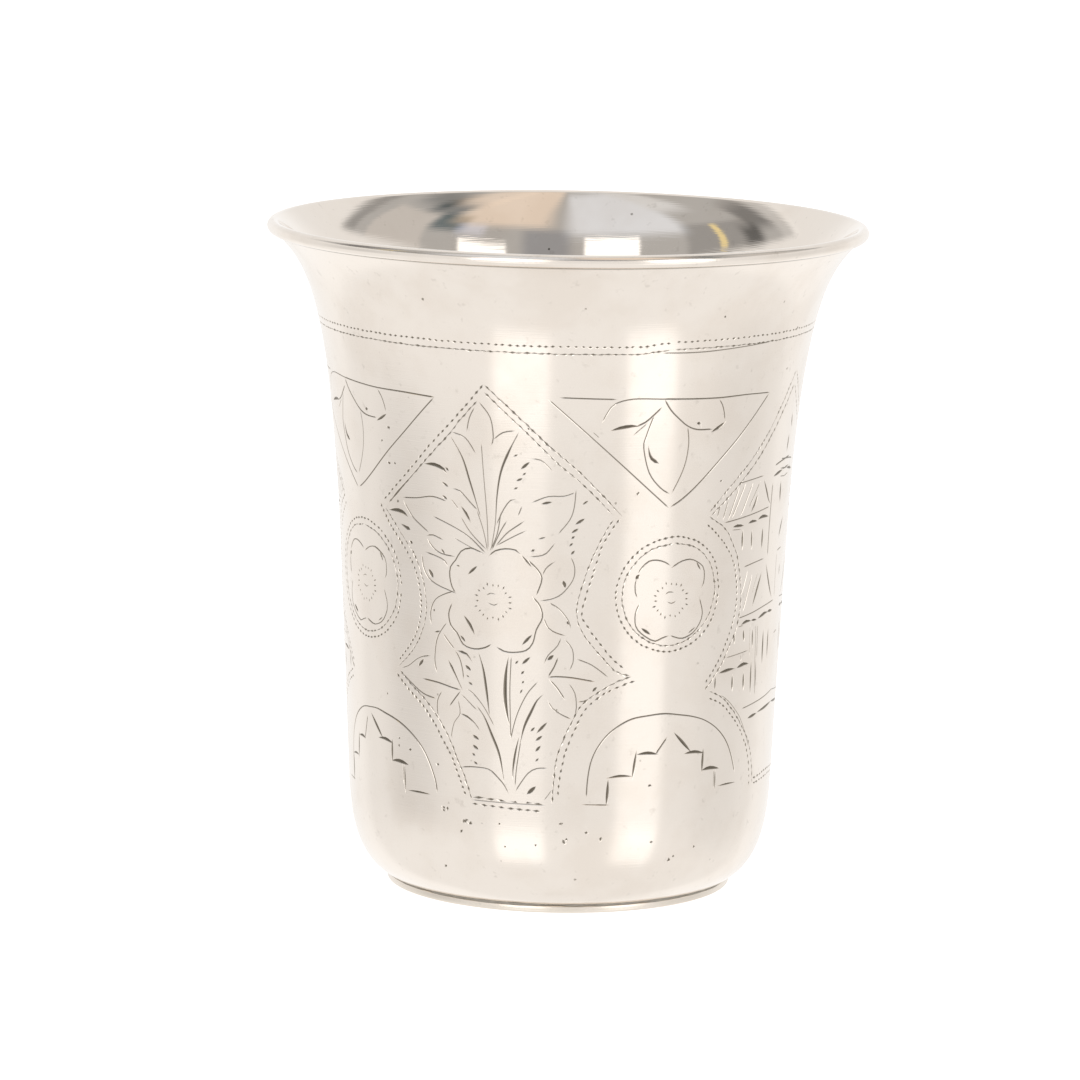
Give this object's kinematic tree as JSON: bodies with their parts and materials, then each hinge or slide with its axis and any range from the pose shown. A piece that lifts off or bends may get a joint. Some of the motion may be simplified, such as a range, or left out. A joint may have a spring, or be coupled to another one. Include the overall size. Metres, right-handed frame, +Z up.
{
  "type": "beaker",
  "caption": "Silver beaker with a flared mouth, rounded lip and low foot ring, engraved with panels of flowers and houses.",
  "frame": {"origin": "centre of the circle that the foot ring stands on, at the bottom of the part", "axes": "+Z up along the axis of the cup, -Y towards the front as pictured"},
  "size_m": [0.072, 0.072, 0.08],
  "materials": {
    "engraved_silver": "old polished silver, warm tone, dark tarnish in the engraved lines",
    "ring_silver": "old silver, a little duller than the cup, dark along the solder line"
  },
  "bodies": {
    "root": {"beaker_body": "engraved_silver", "foot_ring": "ring_silver"}
  },
  "joints": []
}
